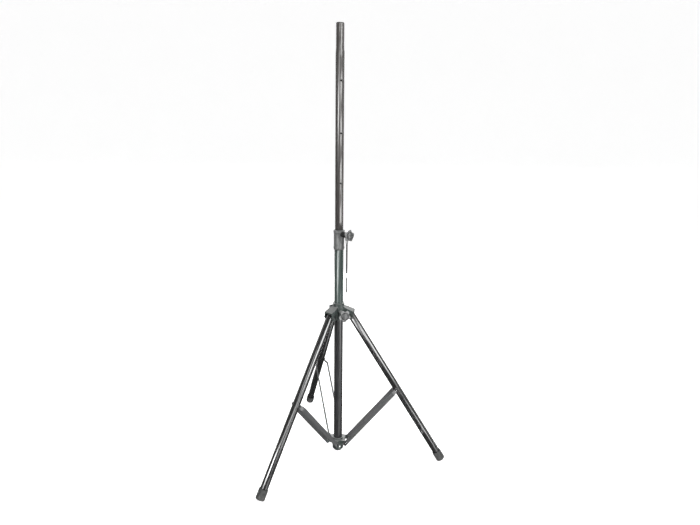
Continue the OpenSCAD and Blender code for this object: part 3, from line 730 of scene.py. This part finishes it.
CAMERA_TURN = math.radians(-19.13)           # of the camera and all the lights about the column
CAMERA_DISTANCE = 2.325
CAMERA_HEIGHT = 1.5316
CAMERA_PAN = math.radians(1.264)
CAMERA_TILT = math.radians(13.58)
CAMERA_ROLL = math.radians(0.621)
LENS_MM = 26.62
SENSOR_MM = 36
AIM_HEIGHT = 0.9                             # that the lights point at
FILL_LEVEL = 0.2                             # of the surroundings as fill light
REFLECTED_LEVEL = 0.06                       # of the surroundings in reflections, between the patches
SLOPE_EDGE = 2.5                             # degrees over which a patch fades at its top and bottom

# Bright patches that the paint reflects, with angles in degrees: direction from the camera's own,
# half width, soft edge, lowest slope, highest slope, level.
PATCHES = (
    (42, 15, 7, 12, 40, 12.0),               # a tall window on the right, dim where the mast reflects it
    (42, 15, 7, -5, 12, 1.0),
    (42, 15, 7, -16, -6, 12.0),
    (42, 15, 7, -24, -16, 13.0),
    (42, 15, 7, -80, -24, 3.8),
    (-35, 13, 6, -4, 7, 24.0),               # a window on the left, bright where the mast reflects it
    (-35, 15, 7, -10, -4, 4.5),
    (0, 22, 10, 7, 20, 6.0),                 # over the camera, for the top of the mast
    (-17, 12, 5, 30, 48, 9.0),               # a high lamp at the front left
    (115, 12, 6, -30, 40, 1.5),              # dim ones on either side
    (-125, 12, 6, -30, 40, 1.5),
    (180, 12, 6, -35, 40, 5.0),              # behind the stand, on both sides of the half turn
    (-180, 12, 6, -35, 40, 5.0),
)


def floor():
    """A pale floor that sweeps up behind the stand. Only the camera sees its own glow."""
    half_width = 30.0
    front = -12.0
    back = 26.0
    sweep_r = 6.0
    sweep_steps = 24
    wall_top = 30.0
    glow_strength = 0.82
    section = [(front, 0.0), (back, 0.0)]
    for i in range(1, sweep_steps + 1):
        a = math.radians(90 * i / sweep_steps)
        section.append((back + sweep_r * math.sin(a), sweep_r * (1 - math.cos(a))))
    section.append((back + sweep_r, wall_top))
    mesh = bmesh.new()
    rows = [[mesh.verts.new((x, y, z)) for x in (-half_width, half_width)] for y, z in section]
    for low, high in zip(rows, rows[1:]):
        mesh.faces.new((low[0], low[1], high[1], high[0]))
    data = bpy.data.meshes.new("floor")
    mesh.to_mesh(data)
    mesh.free()
    obj = bpy.data.objects.new("floor", data)
    bpy.context.scene.collection.objects.link(obj)
    data.shade_smooth()
    paint = Paint("floor_paper", 0.9, specular=0.1)
    paint.colour(paint.mix(paint.drift(0.8), (0.80, 0.80, 0.80), (0.82, 0.82, 0.82)))
    seen = paint.tree.nodes.new("ShaderNodeLightPath").outputs["Is Camera Ray"]
    paint.link(paint.spread(seen, 0, 1, 0, glow_strength), paint.shader.inputs["Emission Strength"])
    paint.shader.inputs["Emission Color"].default_value = (1, 1, 1, 1)
    dress(obj, paint.material)
    obj.visible_glossy = False
    obj.rotation_euler = (0, 0, CAMERA_TURN)


def softbox(name, azimuth, distance, height, width, tall, power):
    """A tall area light, placed by its direction from the camera's own direction."""
    light = bpy.data.lights.new(name, "AREA")
    light.shape = "RECTANGLE"
    light.size = width
    light.size_y = tall
    light.energy = power
    obj = bpy.data.objects.new(name, light)
    turn = CAMERA_TURN + math.radians(azimuth)
    obj.location = (distance * math.sin(turn), -distance * math.cos(turn), height)
    obj.rotation_euler = (UP * AIM_HEIGHT - obj.location).to_track_quat("-Z", "Y").to_euler()
    obj.visible_glossy = False
    bpy.context.scene.collection.objects.link(obj)


def reflected_patches(tree):
    """What reflections see: bright patches around the stand."""

    def math_node(operation, a, b=0.0):
        node = tree.nodes.new("ShaderNodeMath")
        node.operation = operation
        for value, socket in ((a, node.inputs[0]), (b, node.inputs[1])):
            if isinstance(value, (int, float)):
                socket.default_value = value
            else:
                tree.links.new(value, socket)
        return node.outputs["Value"]

    def smooth_step(value, low, high, out_low, out_high):
        node = tree.nodes.new("ShaderNodeMapRange")
        node.interpolation_type = "SMOOTHSTEP"
        limits = (low, high, out_low, out_high)
        for socket, limit in zip(("From Min", "From Max", "To Min", "To Max"), limits):
            node.inputs[socket].default_value = limit
        tree.links.new(value, node.inputs["Value"])
        return node.outputs["Result"]

    turned = tree.nodes.new("ShaderNodeVectorRotate")
    turned.rotation_type = "Z_AXIS"
    turned.inputs["Angle"].default_value = -CAMERA_TURN
    tree.links.new(tree.nodes.new("ShaderNodeTexCoord").outputs["Generated"], turned.inputs["Vector"])
    parts = tree.nodes.new("ShaderNodeSeparateXYZ")
    tree.links.new(turned.outputs["Vector"], parts.inputs["Vector"])
    toward_camera = math_node("MULTIPLY", parts.outputs["Y"], -1.0)
    azimuth = math_node("ARCTAN2", parts.outputs["X"], toward_camera)
    total = REFLECTED_LEVEL
    for centre, half, soft, low, high, level in PATCHES:
        away = math_node("ABSOLUTE", math_node("SUBTRACT", azimuth, math.radians(centre)))
        patch = smooth_step(away, math.radians(half - soft), math.radians(half + soft), level, 0.0)
        for slope, below, above in ((low, 0.0, 1.0), (high, 1.0, 0.0)):
            start = math.sin(math.radians(slope - SLOPE_EDGE))
            end = math.sin(math.radians(slope + SLOPE_EDGE))
            patch = math_node("MULTIPLY", patch, smooth_step(parts.outputs["Z"], start, end, below, above))
        total = math_node("ADD", patch, total)
    return total


def surroundings():
    """White to the camera, dark with bright patches in reflections, and pale grey as fill light."""
    world = bpy.data.worlds.new("surroundings")
    world.use_nodes = True
    world.cycles.sampling_method = "NONE"
    tree = world.node_tree
    rays = tree.nodes.new("ShaderNodeLightPath").outputs

    def choose(ray, otherwise):
        """A mix that changes from one colour to another for a kind of ray, with its B left to fill."""
        mix = tree.nodes.new("ShaderNodeMix")
        mix.data_type = "RGBA"
        tree.links.new(rays[ray], mix.inputs["Factor"])
        if isinstance(otherwise, tuple):
            mix.inputs["A"].default_value = otherwise
        else:
            tree.links.new(otherwise, mix.inputs["A"])
        return mix

    reflected = choose("Is Glossy Ray", (FILL_LEVEL, FILL_LEVEL, FILL_LEVEL, 1))
    tree.links.new(reflected_patches(tree), reflected.inputs["B"])
    seen = choose("Is Camera Ray", reflected.outputs["Result"])
    seen.inputs["B"].default_value = (1, 1, 1, 1)
    tree.links.new(seen.outputs["Result"], tree.nodes["Background"].inputs["Color"])
    bpy.context.scene.world = world


def camera():
    """Aimed by its pan, tilt and roll, and turned about the column with the stand's front."""
    ahead = Vector((math.sin(CAMERA_PAN), math.cos(CAMERA_PAN), 0))
    forward = ahead * math.cos(CAMERA_TILT) - UP * math.sin(CAMERA_TILT)
    level = Vector((math.cos(CAMERA_PAN), -math.sin(CAMERA_PAN), 0))
    upright = level.cross(forward)
    right = level * math.cos(CAMERA_ROLL) + upright * math.sin(CAMERA_ROLL)
    up = upright * math.cos(CAMERA_ROLL) - level * math.sin(CAMERA_ROLL)
    matrix = Matrix((right, up, -forward)).transposed().to_4x4()
    matrix.translation = (0, -CAMERA_DISTANCE, CAMERA_HEIGHT)
    data = bpy.data.cameras.new("camera")
    data.sensor_width = SENSOR_MM
    data.lens = LENS_MM
    obj = bpy.data.objects.new("camera", data)
    obj.matrix_world = Matrix.Rotation(CAMERA_TURN, 4, "Z") @ matrix
    bpy.context.scene.collection.objects.link(obj)
    bpy.context.scene.camera = obj


floor()
softbox("key", 43, 2.9, 1.5, 0.55, 2.8, 80)
softbox("fill", -47, 3.1, 1.4, 0.5, 2.6, 38)
softbox("top", 10, 1.2, 3.6, 1.6, 1.6, 80)
softbox("rear", 180, 3.2, 1.8, 1.6, 2.6, 50)
surroundings()
camera()
bpy.context.scene.view_settings.view_transform = "Standard"
